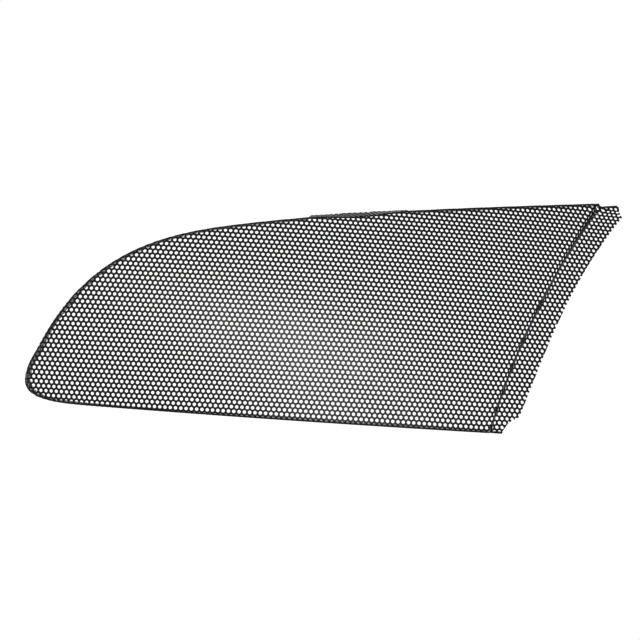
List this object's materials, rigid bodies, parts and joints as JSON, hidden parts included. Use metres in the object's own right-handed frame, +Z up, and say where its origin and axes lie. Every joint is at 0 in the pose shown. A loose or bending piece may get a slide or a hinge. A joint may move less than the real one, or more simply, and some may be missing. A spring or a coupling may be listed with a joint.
{
  "type": "windshield screen",
  "caption": "Long swept, domed perforated sheet-metal screen with a return lip all round, a tab on its upper edge and a set-back rear strip, for the opening beside a motorcycle windshield.",
  "frame": {"origin": "middle of a flat facet on the back of the rear strip, half way up it", "axes": "+X along the screen from the nose to the rear strip, +Y the press direction, from the show side to the back, +Z up"},
  "size_m": [0.3278, 0.0597, 0.1264],
  "materials": {
    "painted_mesh": "satin black paint on punched steel sheet"
  },
  "bodies": {
    "root": {"face_mesh": "painted_mesh", "bottom_lip": "painted_mesh", "nose_lip": "painted_mesh", "top_front_lip": "painted_mesh", "top_tab": "painted_mesh", "top_rear_lip": "painted_mesh", "rear_joggle": "painted_mesh", "rear_strip": "painted_mesh", "strip_top_lip": "painted_mesh", "strip_bottom_lip": "painted_mesh"}
  },
  "joints": []
}
